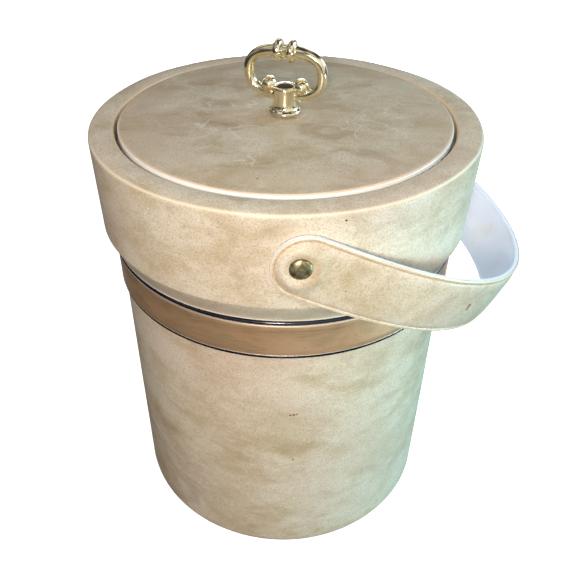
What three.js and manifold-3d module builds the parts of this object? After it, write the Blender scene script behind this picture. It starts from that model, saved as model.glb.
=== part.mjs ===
// Insulated ice bucket: a vinyl-covered drum with a wide padded collar, a lift-off lid with
// a plated knob, and a strap handle that swings on two rivets.
// Millimetres, +Z up. The origin is the centre of the base, where the bucket stands.
// The rivets lie along Y, and the strap hangs towards +X.

import * as THREE from 'three';
import { mergeVertices } from 'three/addons/utils/BufferGeometryUtils.js';
import Module from 'manifold-3d';

const wasm = await Module();
wasm.setup();

// ---- Driving dimensions ----

const GAP = 0.3;                 // clearance kept between neighbouring pieces
const AROUND = 48;               // facets round a large ring
const AROUND_SMALL = 18;         // facets round a small turned piece

const VINYL = 0.7;               // thickness of the vinyl sheet
const BOARD = 2.7;               // thickness of the fibreboard

const BODY_R = 92.1;             // outside of the covered drum
const BODY_ROUND = 5;            // radius of the turned-under bottom edge
const BASE_COVER_R = 84;
const BASE_COVER_T = 1.4;

const COLLAR_TOP = 241;
const COLLAR_R = 100;            // at the shoulder
const COLLAR_SHOULDER = 3.3;     // radius of the shoulder edge
const COLLAR_CREASE_R = 99;      // at the crease above the bevel
const COLLAR_CREASE_Z = 192.4;
const COLLAR_LIP_R = 94.4;       // where the bevel ends
const COLLAR_LIP_Z = 181;
const MOUTH_R = 87;              // opening the lid drops into
const MOUTH_ROUND = 1.2;

const BAND_R = 94;
const BAND_BOTTOM = 159.3;
const BAND_TOP = 178.3;
const BEAD_R = 93.5;
const BEAD_SECTION_R = 1;

const LINER_R = 80;              // inside of the liner
const LINER_WALL = 2;
const LINER_FLOOR = 14;
const LINER_RIM = 231;           // top of the flange that the lid rests on

const LID_R = 85.4;
const LID_PLUG_R = 79;
const LID_PLUG_BOTTOM = 216;
const LID_WALL = 1.4;
const LID_WALL_TOP = 241;
const LID_TOP_R = 84.8;
const LID_TOP_EDGE = 241.95;
const LID_CROWN = 0.9;           // rise of the padded top from edge to centre

const KNOB_TURN = THREE.MathUtils.degToRad(-21.5);
const POST_HEIGHT = 13.8;
const RING_HALF_WIDTH = 19;      // centre line of the ring, a squared oval
const RING_HALF_HEIGHT = 11.3;
const RING_CENTRE_UP = 19.9;     // above the foot of the knob
const RING_POWER = 2.6;          // 2 is an ellipse, larger is squarer
const RING_SECTION_R = 2.8;
const RING_BEAD_R = 5.8;
const RING_BEAD_HALF_LENGTH = 2.1;
const RING_BEAD_OFFSET = 3.3;
const RING_BALL_R = 4;
const RING_BALL_OFFSET = 8.5;
const RING_BALL_UP = 13.8;
const POST_CLEARANCE_R = 6.5;    // the ring is cut back to this radius round the post

const SCREW_R = 1.7;
const SCREW_HOLE_R = 2.1;

const RIVET_Z = 218;
const RIVET_SHANK_R = 2;
const RIVET_HOLE_R = 2.3;
const RIVET_HEAD_R = 5.2;
const RIVET_HEAD_HEIGHT = 2.5;
const RIVET_WASHER_R = 4.5;

const STRAP_WIDTH = 32;
const STRAP_REACH = 135;         // rivet axis to the middle of the bow
const STRAP_HALF_SPAN = 102.4;   // bucket axis to the middle of a leg
const STRAP_END = 12.8;          // rivet axis to the rounded end
const STRAP_LEG_POWER = 2.83;    // the larger, the straighter the legs
const STRAP_HANG = THREE.MathUtils.degToRad(115);   // from upright towards +X

// ---- Shared shapes ----

const V2 = (x, y) => new THREE.Vector2(x, y);

// Points of an arc about (cr, cz), from one angle to another in degrees, in steps.
function arc(cr, cz, radius, from, to, steps) {
  const points = [];
  for (let i = 0; i <= steps; i++) {
    const angle = THREE.MathUtils.degToRad(from + ((to - from) * i) / steps);
    points.push(V2(cr + radius * Math.cos(angle), cz + radius * Math.sin(angle)));
  }
  return points;
}

// Turns a profile of (radius, height) points about Z. The profile runs up its outer side.
function turned(profile, around = AROUND) {
  const geometry = new THREE.LatheGeometry(profile, around);
  geometry.rotateX(Math.PI / 2);
  return geometry;
}

// A plain ring of rectangular section.
function ring(inner, outer, bottom, top, around = AROUND) {
  const corners = [V2(outer, bottom), V2(outer, top), V2(inner, top), V2(inner, bottom)];
  return turned([...corners, corners[0]], around);
}

function disc(radius, bottom, top, around = AROUND) {
  return turned([V2(0, bottom), V2(radius, bottom), V2(radius, top), V2(0, top)], around);
}

function toSolid(geometry) {
  const bare = geometry.clone();
  bare.deleteAttribute('normal');
  bare.deleteAttribute('uv');
  const merged = mergeVertices(bare, 1e-4);
  return new wasm.Manifold(new wasm.Mesh({
    numProp: 3,
    vertProperties: new Float32Array(merged.attributes.position.array),
    triVerts: new Uint32Array(merged.index.array),
  }));
}

function toGeometry(solid) {
  const mesh = solid.getMesh();
  const geometry = new THREE.BufferGeometry();
  geometry.setAttribute('position', new THREE.BufferAttribute(new Float32Array(mesh.vertProperties), 3));
  geometry.setIndex(new THREE.BufferAttribute(new Uint32Array(mesh.triVerts), 1));
  geometry.computeVertexNormals();
  return geometry;
}

const cut = (geometry, tool) => toGeometry(toSolid(geometry).subtract(toSolid(tool)));

// A round bar along Y, centred on the rivet axis.
function barAlongY(radius, length) {
  const bar = new THREE.CylinderGeometry(radius, radius, length, AROUND_SMALL);
  bar.translate(0, 0, RIVET_Z);
  return bar;
}

const root = new THREE.Group();
const handle = new THREE.Group();
const lid = new THREE.Group();
root.add(handle, lid);

function piece(parent, name, geometry, color, roughness, metalness = 0) {
  const material = new THREE.MeshStandardMaterial({ color, roughness, metalness });
  const mesh = new THREE.Mesh(geometry, material);
  mesh.name = name;
  parent.add(mesh);
  return mesh;
}

const TAN_VINYL = 0xc4b491;
const FIBREBOARD = 0x9a7f58;
const FOAM = 0xe9e3cf;
const WHITE_PLASTIC = 0xf2f0ea;
const BRONZE_METAL = 0xa98a5c;
const NAVY_PLASTIC = 0x141a3c;
const PLATED_GOLD = 0xd8c48a;
const STEEL = 0xa9abae;

// ---- Drum: base, tube, insulation, liner and covering ----

const wrapInner = BODY_R - VINYL;
const tubeOuter = wrapInner - GAP;
const tubeInner = tubeOuter - BOARD;
const tubeTop = LINER_RIM - 1.3 - GAP;
const wrapTop = COLLAR_CREASE_Z + 3.6;
const hemHeight = 0.4;
const baseDiscTop = 5;
const roundCentre = BODY_R - BODY_ROUND;
const roundCentreZ = hemHeight + BODY_ROUND;

piece(root, 'base_cover', disc(BASE_COVER_R, 0, BASE_COVER_T), TAN_VINYL, 0.6);
piece(root, 'base_disc', disc(roundCentre + 1.5, BASE_COVER_T + GAP, baseDiscTop), FIBREBOARD, 0.9);
piece(root, 'drum_tube', ring(tubeInner, tubeOuter, roundCentreZ, tubeTop), FIBREBOARD, 0.9);

const wrapProfile = [
  V2(BASE_COVER_R + 0.6, hemHeight),
  ...arc(roundCentre, roundCentreZ, BODY_ROUND, -90, 0, 4),
  V2(BODY_R, wrapTop),
  V2(wrapInner, wrapTop),
  ...arc(roundCentre, roundCentreZ, BODY_ROUND - VINYL, 0, -90, 3),
  V2(BASE_COVER_R + 0.6, hemHeight + VINYL),
  V2(BASE_COVER_R + 0.6, hemHeight),
];
piece(root, 'drum_vinyl_wrap', turned(wrapProfile), TAN_VINYL, 0.45);

const linerOuter = LINER_R + LINER_WALL;
const linerFloorBottom = LINER_FLOOR - LINER_WALL;
const flangeBottom = tubeTop + GAP;
const insulationFloor = baseDiscTop + GAP;
const insulationProfile = [
  V2(0, insulationFloor),
  V2(tubeInner - GAP, insulationFloor),
  V2(tubeInner - GAP, tubeTop),
  V2(linerOuter + GAP, tubeTop),
  V2(linerOuter + GAP, linerFloorBottom - GAP),
  V2(0, linerFloorBottom - GAP),
];
piece(root, 'drum_insulation', turned(insulationProfile), FOAM, 0.95);

const linerProfile = [
  V2(0, linerFloorBottom),
  V2(linerOuter - 4, linerFloorBottom),
  V2(linerOuter, linerFloorBottom + 4),
  V2(linerOuter, flangeBottom),
  V2(tubeOuter, flangeBottom),
  V2(tubeOuter, LINER_RIM),
  V2(LINER_R + 0.8, LINER_RIM),
  V2(LINER_R, LINER_RIM - 0.8),
  V2(LINER_R, LINER_FLOOR + 3.2),
  V2(LINER_R - 3.2, LINER_FLOOR),
  V2(0, LINER_FLOOR),
];
piece(root, 'inner_liner', turned(linerProfile), WHITE_PLASTIC, 0.3);

// ---- Trim round the drum, below the collar ----

piece(root, 'metal_band', ring(BODY_R + GAP, BAND_R, BAND_BOTTOM, BAND_TOP), BRONZE_METAL, 0.35, 1);

const bead = new THREE.TorusGeometry(BEAD_R, BEAD_SECTION_R, 8, AROUND);
bead.translate(0, 0, BAND_TOP + GAP + BEAD_SECTION_R);
piece(root, 'upper_trim_bead', bead, NAVY_PLASTIC, 0.15);

const lineTop = BAND_BOTTOM - GAP;
piece(root, 'lower_trim_line', ring(BODY_R + GAP, BAND_R - 0.1, lineTop - 1.2, lineTop), NAVY_PLASTIC, 0.25);

// ---- Collar: board hoop, spacers, top ring, padding and cover ----

const topRingBottom = 234;
const topRingTop = 237;
const padTop = COLLAR_TOP - VINYL - GAP;
const hoopInner = 95.5;
const hoopOuter = 97.9;
const bevelTopZ = COLLAR_CREASE_Z;
const drumSide = BODY_R + GAP;

const lowerSpacer = [
  V2(COLLAR_LIP_R - 0.6, COLLAR_LIP_Z + 2.4),
  V2(COLLAR_CREASE_R - 1.9, bevelTopZ),
  V2(drumSide, bevelTopZ),
  V2(drumSide, COLLAR_LIP_Z + 2.4),
];
piece(root, 'collar_lower_spacer', turned([...lowerSpacer, lowerSpacer[0]]), FIBREBOARD, 0.9);
piece(root, 'collar_upper_spacer', ring(tubeOuter + GAP, hoopInner - GAP, 224, topRingBottom - GAP),
  FIBREBOARD, 0.9);

const rivetHole = barAlongY(RIVET_HOLE_R, 2 * COLLAR_R + 20);
const hoop = ring(hoopInner, hoopOuter, bevelTopZ + GAP, topRingBottom - GAP);
piece(root, 'collar_hoop', cut(hoop, rivetHole), FIBREBOARD, 0.9);

const mouthInner = MOUTH_R + VINYL + GAP;
piece(root, 'collar_top_ring', ring(mouthInner, hoopOuter, topRingBottom, topRingTop), FIBREBOARD, 0.9);
piece(root, 'collar_pad', ring(mouthInner + 0.6, COLLAR_R - COLLAR_SHOULDER, topRingTop + GAP, padTop),
  FOAM, 0.95);

const shoulderCentre = COLLAR_R - COLLAR_SHOULDER;
const shoulderCentreZ = COLLAR_TOP - COLLAR_SHOULDER;
const mouthCentre = MOUTH_R + MOUTH_ROUND;
const mouthCentreZ = COLLAR_TOP - MOUTH_ROUND;
const mouthBottom = LINER_RIM + 0.5;
const coverProfile = [
  V2(COLLAR_LIP_R, COLLAR_LIP_Z),
  V2(COLLAR_CREASE_R, COLLAR_CREASE_Z),
  ...arc(shoulderCentre, shoulderCentreZ, COLLAR_SHOULDER, 0, 90, 3),
  ...arc(mouthCentre, mouthCentreZ, MOUTH_ROUND, 90, 180, 3),
  V2(MOUTH_R, mouthBottom),
  V2(MOUTH_R + VINYL, mouthBottom),
  ...arc(mouthCentre, mouthCentreZ, MOUTH_ROUND - VINYL, 180, 90, 2),
  ...arc(shoulderCentre, shoulderCentreZ, COLLAR_SHOULDER - VINYL, 90, 0, 2),
  V2(COLLAR_CREASE_R - VINYL, COLLAR_CREASE_Z + 0.2),
  V2(COLLAR_LIP_R - VINYL, COLLAR_LIP_Z + 0.4),
  V2(COLLAR_LIP_R, COLLAR_LIP_Z),
];
piece(root, 'collar_vinyl_cover', cut(turned(coverProfile), rivetHole), TAN_VINYL, 0.45);

// ---- Rivets, one each side, with a washer inside the hoop ----

const rivetSeat = STRAP_HALF_SPAN + 1.6 + GAP;    // underside of the head
const washerOut = hoopInner - 0.4;
const washerIn = washerOut - 0.8;
const rivetTail = washerIn - 1.1;

// The rivet's own axis is Z here, pointing out of the bucket.
function rivetShape() {
  const crown = [];
  const steps = 4;
  for (let i = 0; i <= steps; i++) {
    const angle = (Math.PI / 2) * (i / steps);
    crown.push(V2(RIVET_HEAD_R * Math.cos(angle), rivetSeat + 0.5 + (RIVET_HEAD_HEIGHT - 0.5) * Math.sin(angle)));
  }
  crown[steps].x = 0;
  return turned([
    V2(0, rivetTail),
    V2(RIVET_SHANK_R + 0.7, rivetTail),
    V2(RIVET_SHANK_R + 0.7, washerIn - GAP),
    V2(RIVET_SHANK_R, washerIn - GAP),
    V2(RIVET_SHANK_R, rivetSeat),
    V2(RIVET_HEAD_R, rivetSeat),
    ...crown,
  ], AROUND_SMALL);
}

for (const side of [{ name: 'front', turn: Math.PI / 2 }, { name: 'rear', turn: -Math.PI / 2 }]) {
  const rivet = piece(root, `${side.name}_rivet`, rivetShape(), BRONZE_METAL, 0.3, 1);
  rivet.rotation.x = side.turn;
  rivet.position.z = RIVET_Z;
  const washerShape = ring(RIVET_HOLE_R, RIVET_WASHER_R, washerIn, washerOut, AROUND_SMALL);
  const washer = piece(root, `${side.name}_rivet_washer`, washerShape, STEEL, 0.4, 1);
  washer.rotation.x = side.turn;
  washer.position.z = RIVET_Z;
}

// ---- Strap handle: cover, core and lining, bent to one bow ----

// The bow in its own plane: x runs out from the rivet axis, y from rivet to rivet.
// A positive offset is on the outer side.
function bowLine(offset) {
  const steps = 36;
  const points = [];
  const reach = STRAP_REACH + offset;
  const span = STRAP_HALF_SPAN + offset;
  points.push(V2(-STRAP_END - 4, -span));
  for (let i = 0; i <= steps; i++) {
    const t = (Math.PI * i) / steps;
    const out = i === steps ? 0 : reach * Math.sin(t) ** (2 / STRAP_LEG_POWER);
    points.push(V2(out, -span * Math.cos(t)));
  }
  points.push(V2(-STRAP_END - 4, span));
  return points;
}

// One layer of the strap, between two offsets, with rounded ends.
function strapLayer(inner, outer, width) {
  const outline = new THREE.Shape([...bowLine(outer), ...bowLine(inner).reverse()]);
  const bow = new THREE.ExtrudeGeometry(outline, { depth: width, bevelEnabled: false });
  bow.translate(0, 0, -width / 2);

  const trim = (STRAP_WIDTH - width) / 2;
  const radius = width / 2;
  const end = new THREE.Shape();
  end.absarc(radius - STRAP_END + trim, 0, radius, Math.PI / 2, (3 * Math.PI) / 2, false);
  end.lineTo(STRAP_REACH + 20, -radius - 1);
  end.lineTo(STRAP_REACH + 20, radius + 1);
  const ends = new THREE.ExtrudeGeometry(end, {
    depth: 2 * STRAP_HALF_SPAN + 20, bevelEnabled: false, curveSegments: 12,
  });
  ends.translate(0, 0, -STRAP_HALF_SPAN - 10);
  ends.rotateX(Math.PI / 2);

  const hole = new THREE.CylinderGeometry(RIVET_HOLE_R, RIVET_HOLE_R, 2 * STRAP_HALF_SPAN + 20, AROUND_SMALL);
  return toGeometry(toSolid(bow).intersect(toSolid(ends)).subtract(toSolid(hole)));
}

handle.position.z = RIVET_Z;
handle.rotation.y = STRAP_HANG - Math.PI / 2;
piece(handle, 'strap_cover', strapLayer(0.6, 1.6, STRAP_WIDTH), TAN_VINYL, 0.45);
piece(handle, 'strap_core', strapLayer(-0.7, 0.3, STRAP_WIDTH - 3), FIBREBOARD, 0.8);
piece(handle, 'strap_lining', strapLayer(-1.6, -1.0, STRAP_WIDTH - 0.6), WHITE_PLASTIC, 0.5);

// ---- Lid: moulded shell, insulation, board, padding and vinyl top ----

const seat = LINER_RIM + GAP;
const shellInner = LID_R - LID_WALL;
const plugInner = LID_PLUG_R - LID_WALL;
const shellProfile = [
  V2(0, LID_PLUG_BOTTOM),
  V2(LID_PLUG_R - 1.5, LID_PLUG_BOTTOM),
  V2(LID_PLUG_R, LID_PLUG_BOTTOM + 1.5),
  V2(LID_PLUG_R, seat),
  V2(LID_R, seat),
  V2(LID_R, LID_WALL_TOP),
  V2(shellInner, LID_WALL_TOP),
  V2(shellInner, seat + LID_WALL),
  V2(plugInner, seat + LID_WALL),
  V2(plugInner, LID_PLUG_BOTTOM + LID_WALL),
  V2(0, LID_PLUG_BOTTOM + LID_WALL),
];
piece(lid, 'lid_shell', turned(shellProfile), WHITE_PLASTIC, 0.25);

const lidBoardTop = 238.6;
const lidBoardBottom = lidBoardTop - BOARD;
const foamTop = lidBoardBottom - GAP;
const foamProfile = [
  V2(0, LID_PLUG_BOTTOM + LID_WALL + GAP),
  V2(plugInner - GAP, LID_PLUG_BOTTOM + LID_WALL + GAP),
  V2(plugInner - GAP, seat + LID_WALL + GAP),
  V2(shellInner - GAP, seat + LID_WALL + GAP),
  V2(shellInner - GAP, foamTop),
  V2(6.4, foamTop),
  V2(6.4, foamTop - 4.2),
  V2(0, foamTop - 4.2),
];
piece(lid, 'lid_insulation', turned(foamProfile), FOAM, 0.95);
piece(lid, 'lid_board', ring(SCREW_HOLE_R, shellInner - GAP, lidBoardBottom, lidBoardTop), FIBREBOARD, 0.9);

// A crowned sheet with a hole for the knob screw, its top rising to the centre.
function crowned(radius, bottom, edge, rise, edgeRound, dished) {
  const height = (r) => rise * (1 - (r / radius) ** 2);
  const stops = [0.75, 0.5, 0.25];
  const points = [
    V2(radius - edgeRound, bottom),
    V2(radius, bottom + edgeRound * 0.6),
    V2(radius - edgeRound, edge),
    ...stops.map((s) => V2(radius * s, edge + height(radius * s))),
    V2(SCREW_HOLE_R, edge + height(SCREW_HOLE_R)),
    V2(SCREW_HOLE_R, bottom + (dished ? height(SCREW_HOLE_R) : 0)),
  ];
  if (dished) {
    points.push(...stops.slice().reverse().map((s) => V2(radius * s, bottom + height(radius * s))));
  }
  return turned([...points, points[0]]);
}

const padShape = crowned(shellInner - GAP, lidBoardTop + GAP, LID_WALL_TOP - 0.1, LID_CROWN, 0.3, false);
piece(lid, 'lid_pad', padShape, FOAM, 0.95);
piece(lid, 'lid_vinyl_top', crowned(LID_TOP_R, LID_WALL_TOP + GAP, LID_TOP_EDGE, LID_CROWN, 0.4, true),
  TAN_VINYL, 0.4);

// ---- Knob: post, ring, screw and washer ----

const foot = LID_TOP_EDGE + LID_CROWN + GAP;
const postTop = foot + POST_HEIGHT;
const postProfile = [
  V2(0, foot + 10),
  V2(SCREW_HOLE_R, foot + 10),
  V2(SCREW_HOLE_R, foot),
  V2(7.9, foot),
  V2(8.4, foot + 0.5),
  V2(8.4, foot + 1.3),
  V2(7.2, foot + 2.5),
  V2(6.6, foot + 3.4),
  V2(6.2, foot + 5),
  V2(6, foot + 8),
  V2(6.1, foot + 12.6),
  V2(5.4, postTop),
  V2(0, postTop),
];
piece(lid, 'knob_post', turned(postProfile, AROUND_SMALL), PLATED_GOLD, 0.15, 1);

// The oval centre line of the ring, from one side of the post over the top to the other.
class RingLine extends THREE.Curve {
  getPoint(t, target = new THREE.Vector3()) {
    const ringEnd = 5;
    const start = -Math.acos((ringEnd / RING_HALF_WIDTH) ** (RING_POWER / 2));
    const angle = start + t * (Math.PI - 2 * start);
    const squared = (value) => Math.sign(value) * Math.abs(value) ** (2 / RING_POWER);
    return target.set(RING_HALF_WIDTH * squared(Math.cos(angle)), 0, RING_HALF_HEIGHT * squared(Math.sin(angle)));
  }
}

function ringShape() {
  const section = new THREE.Shape();
  section.absarc(0, 0, RING_SECTION_R, 0, 2 * Math.PI, false);
  const tube = new THREE.ExtrudeGeometry(section, {
    steps: 40, curveSegments: 5, bevelEnabled: false, extrudePath: new RingLine(),
  });
  let body = toSolid(tube);
  for (const side of [-1, 1]) {
    const across = RING_BEAD_OFFSET / RING_HALF_WIDTH;
    const collar = new THREE.SphereGeometry(RING_BEAD_R, AROUND_SMALL, 8);
    collar.scale(1, RING_BEAD_HALF_LENGTH / RING_BEAD_R, 1);
    collar.rotateZ(Math.PI / 2);
    collar.rotateY(side * Math.atan2(RING_HALF_HEIGHT * across, RING_HALF_WIDTH));
    collar.translate(side * RING_BEAD_OFFSET, 0, RING_HALF_HEIGHT * Math.sqrt(1 - across ** 2));
    const ball = new THREE.SphereGeometry(RING_BALL_R, 14, 9);
    ball.translate(side * RING_BALL_OFFSET, 0, RING_BALL_UP - RING_CENTRE_UP);
    body = body.add(toSolid(collar)).add(toSolid(ball));
  }
  const postSpace = new THREE.CylinderGeometry(POST_CLEARANCE_R, POST_CLEARANCE_R, 12, AROUND_SMALL);
  postSpace.rotateX(Math.PI / 2);
  postSpace.translate(0, 0, POST_HEIGHT - 4 - RING_CENTRE_UP);
  return toGeometry(body.subtract(toSolid(postSpace)));
}

const knobRing = piece(lid, 'knob_ring', ringShape(), PLATED_GOLD, 0.15, 1);
knobRing.position.z = foot + RING_CENTRE_UP;
knobRing.rotation.z = KNOB_TURN;

const washerTop = lidBoardBottom - GAP;
const headTop = washerTop - 0.8 - GAP;
piece(lid, 'knob_washer', ring(SCREW_HOLE_R, 5.5, washerTop - 0.8, washerTop, AROUND_SMALL), STEEL, 0.4, 1);
piece(lid, 'knob_screw', turned([
  V2(0, headTop - 2),
  V2(3.4, headTop - 2),
  V2(3.8, headTop - 1.4),
  V2(3.8, headTop),
  V2(SCREW_R, headTop),
  V2(SCREW_R, foot + 9),
  V2(0, foot + 9),
], AROUND_SMALL), STEEL, 0.4, 1);

export default root;
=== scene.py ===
"""An insulated ice bucket: a board drum covered in mottled tan vinyl, with a padded collar,
a brushed band, a lift-off lid with a plated ring knob, and a riveted strap handle."""

import math

import bmesh
import bpy
import numpy as np
from mathutils import Matrix, Quaternion, Vector, noise


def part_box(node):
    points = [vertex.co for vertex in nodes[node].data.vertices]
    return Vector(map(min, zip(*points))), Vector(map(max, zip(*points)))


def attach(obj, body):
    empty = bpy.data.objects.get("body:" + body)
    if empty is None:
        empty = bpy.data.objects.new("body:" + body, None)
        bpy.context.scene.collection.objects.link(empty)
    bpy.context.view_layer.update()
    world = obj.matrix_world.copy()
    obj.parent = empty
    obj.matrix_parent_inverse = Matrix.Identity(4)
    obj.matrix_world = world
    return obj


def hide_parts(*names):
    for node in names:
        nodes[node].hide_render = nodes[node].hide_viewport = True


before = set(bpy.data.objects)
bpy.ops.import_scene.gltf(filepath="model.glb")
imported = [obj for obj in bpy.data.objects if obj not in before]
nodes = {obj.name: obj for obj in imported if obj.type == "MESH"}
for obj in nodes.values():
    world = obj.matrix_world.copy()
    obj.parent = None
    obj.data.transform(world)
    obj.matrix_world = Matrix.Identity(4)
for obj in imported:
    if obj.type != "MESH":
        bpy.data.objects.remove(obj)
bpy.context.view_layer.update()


# ---- Drum: base disc, tube and insulation -------------------------------------------------
# The drum is a spiral-wound fibreboard tube with a board disc pushed into its foot. Moulded
# foam fills the space between the tube and the liner. All of it is hidden once it is covered.

MM = 0.001


class Wire:
    """A socket of a finish. Sums and products of wires add Math nodes."""

    def __init__(self, tree, socket):
        self.tree = tree
        self.socket = socket

    def node(self, kind, settings, inputs, out=0):
        """Adds a node: its settings come first, then the values or wires of its sockets."""
        made = self.tree.nodes.new(kind)
        for key, value in settings.items():
            if key == "stops":
                ramp = made.color_ramp
                while len(ramp.elements) < len(value):
                    ramp.elements.new(0.5)
                for element, (at, colour) in zip(ramp.elements, value):
                    element.position = at
                    element.color = (*colour, 1)
            else:
                setattr(made, key, value)
        for key, value in inputs.items():
            if isinstance(value, Wire):
                self.tree.links.new(value.socket, made.inputs[key])
            else:
                made.inputs[key].default_value = value
        return Wire(self.tree, made.outputs[out])

    def math(self, operation, *terms):
        return self.node("ShaderNodeMath", {"operation": operation}, dict(enumerate(terms)))

    def __add__(self, other):
        return self.math("ADD", self, other)

    def __sub__(self, other):
        return self.math("SUBTRACT", self, other)

    def __rsub__(self, other):
        return self.math("SUBTRACT", other, self)

    def __mul__(self, other):
        return self.math("MULTIPLY", self, other)

    def __pow__(self, other):
        return self.math("POWER", self, other)

    __radd__ = __add__
    __rmul__ = __mul__

    def clamp(self):
        return self.math("MINIMUM", self.math("MAXIMUM", self, 0.0), 1.0)

    def between(self, low, high):
        """0 below low, 1 above high, and smooth from one to the other."""
        return self.node(
            "ShaderNodeMapRange",
            {"interpolation_type": "SMOOTHSTEP"},
            {"Value": self, "From Min": low, "From Max": high},
        )

    def stretched(self, x, y, z):
        return self.node("ShaderNodeVectorMath", {"operation": "MULTIPLY"}, {0: self, 1: (x, y, z)})

    def part(self, axis):
        return self.node("ShaderNodeSeparateXYZ", {}, {0: self}, out="XYZ".index(axis))

    def noise(self, scale, detail=4.0, rough=0.55, distort=0.0):
        return self.node(
            "ShaderNodeTexNoise",
            {"noise_dimensions": "3D"},
            {"Vector": self, "Scale": scale, "Detail": detail, "Roughness": rough, "Distortion": distort},
        )

    def ramp(self, *stops):
        return self.node("ShaderNodeValToRGB", {"stops": stops}, {0: self})

    def tint(self, under, over):
        """Mixes two colours, with this wire as the share of the second. Sockets 0, 6 and 7 of
        a Mix are its share and its two colours, and its colour comes out at 2."""
        under, over = (c if isinstance(c, Wire) else (*c, 1) for c in (under, over))
        return self.node("ShaderNodeMix", {"data_type": "RGBA"}, {0: self, 6: under, 7: over}, out=2)

    def bump(self, distance, strength=1.0, normal=None):
        inputs = {"Height": self, "Distance": distance, "Strength": strength}
        if normal is not None:
            inputs["Normal"] = normal
        return self.node("ShaderNodeBump", {}, inputs)


def rgb(red, green, blue):
    """A screen colour, 0 to 255, as the linear light that shaders take."""
    return tuple((c / 255) ** 2.2 for c in (red, green, blue))


def darker(colour, share):
    return tuple(c * share for c in colour)


def finish(name, **values):
    """A new material: itself, its shader's sockets and a wire of the place on the bucket."""
    material = bpy.data.materials.new(name)
    material.use_nodes = True
    tree = material.node_tree
    shader = tree.nodes["Principled BSDF"]
    for key, value in values.items():
        shader.inputs[key.replace("_", " ")].default_value = value
    place = Wire(tree, tree.nodes.new("ShaderNodeTexCoord").outputs["Object"])
    return material, shader.inputs, place


def feed(sockets, **wires):
    """Links wires to the shader's own sockets."""
    for key, wire in wires.items():
        wire.tree.links.new(wire.socket, sockets[key.replace("_", " ")])


def paint(material, *names):
    """Gives pieces that keep their CAD shape their real finish."""
    for name in names:
        mesh = nodes[name].data
        mesh.materials.clear()
        mesh.materials.append(material)


def board_finish():
    """Grey-brown pressed board with long fibres and pale flecks."""
    material, sockets, place = finish("fibreboard", Roughness=0.9)
    fibres = place.stretched(1, 1, 5).noise(420, 6, 0.7)
    flecks = place.noise(900, 2, 0.5).between(0.62, 0.75)
    colour = fibres.ramp((0.3, rgb(108, 84, 58)), (0.7, rgb(160, 132, 98)))
    feed(sockets, Base_Color=flecks.tint(colour, rgb(190, 170, 138)))
    feed(sockets, Normal=fibres.bump(0.15 * MM), Roughness=0.8 + fibres * 0.15)
    return material


def foam_finish():
    """Cream moulded foam, with the outlines of its beads."""
    material, sockets, place = finish("bead_foam", Roughness=0.95)
    outlines = {"feature": "DISTANCE_TO_EDGE"}
    beads = place.node("ShaderNodeTexVoronoi", outlines, {"Vector": place, "Scale": 420})
    seams = beads.between(0.0, 0.12)
    feed(sockets, Base_Color=seams.ramp((0, rgb(196, 188, 164)), (1, rgb(236, 231, 214))))
    feed(sockets, Normal=seams.bump(0.2 * MM))
    return material


board = board_finish()
foam = foam_finish()
paint(board, "base_disc", "drum_tube")
paint(foam, "drum_insulation")


# ---- Inner liner --------------------------------------------------------------------------
# One vacuum-formed tub of white plastic. Its rim is a flange that lies on the drum's end and
# carries the lid, and its floor has a round foot ring pressed into it.

def arc(centre_r, centre_z, radius, start, end, steps):
    """Points of a round corner, angles in degrees, zero pointing outwards."""
    angles = [math.radians(start + (end - start) * i / steps) for i in range(steps + 1)]
    return [(centre_r + radius * math.cos(a), centre_z + radius * math.sin(a)) for a in angles]


def level(points_between, *corners):
    """The corners with extra points along each straight run between them."""
    line = []
    for (r0, z0), (r1, z1) in zip(corners, corners[1:]):
        for i in range(points_between):
            share = i / points_between
            line.append((r0 + (r1 - r0) * share, z0 + (z1 - z0) * share))
    return line + [corners[-1]]


def circle(count):
    """Angles of evenly spaced points going round once."""
    return [2 * math.pi * i / count for i in range(count)]


def put(name, data):
    """A new object in the scene from a mesh, a light or a camera."""
    thing = bpy.data.objects.new(name, data)
    bpy.context.scene.collection.objects.link(thing)
    return thing


def place_mesh(name, points, faces, materials, body, sharp=40, kinds=None):
    """A piece from points and faces. kinds gives each face's place in the list of materials."""
    mesh = bpy.data.meshes.new(name)
    mesh.from_pydata([tuple(p) for p in points], [], faces)
    if kinds:
        mesh.polygons.foreach_set("material_index", kinds)
    tidy = bmesh.new()
    tidy.from_mesh(mesh)
    bmesh.ops.remove_doubles(tidy, verts=tidy.verts, dist=1e-7)
    bmesh.ops.recalc_face_normals(tidy, faces=tidy.faces)
    tidy.to_mesh(mesh)
    tidy.free()
    mesh.shade_smooth()
    mesh.set_sharp_from_angle(angle=math.radians(sharp))
    for material in materials:
        mesh.materials.append(material)
    piece = put(name, mesh)
    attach(piece, body)
    return piece


def turned(name, outline, material, body="root", around=240, shift=None, sharp=40, stand=Matrix()):
    """A closed piece turned about the bucket's axis from an outline of (radius, height) in metres.
    The outline starts and ends on the axis or closes on itself. shift(angle, r, z) moves a point,
    and stand places a piece that has its own axis."""
    points, rows = [], []
    for r, z in outline:
        row = []
        for angle in circle(around):
            dr, dz = shift(angle, r, z) if shift and r > 0 else (0, 0)
            out = r + dr
            points.append(stand @ Vector((out * math.cos(angle), out * math.sin(angle), z + dz)))
            row.append(len(points) - 1)
            if r == 0:
                row = row * around
                break
        rows.append(row)
    loops = list(zip(rows, rows[1:]))
    if outline[0][0] > 0:
        loops.append((rows[-1], rows[0]))
    faces = []
    for low, high in loops:
        for i in range(around):
            j = (i + 1) % around
            corners = [low[i], low[j], high[j], high[i]]
            faces.append([c for n, c in enumerate(corners) if c not in corners[:n]])
    return place_mesh(name, points, faces, [material], body, sharp)


def radii(node):
    """Outer radius, bottom and top of a turned CAD piece."""
    low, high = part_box(node)
    return high.x, low.z, high.z


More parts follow.
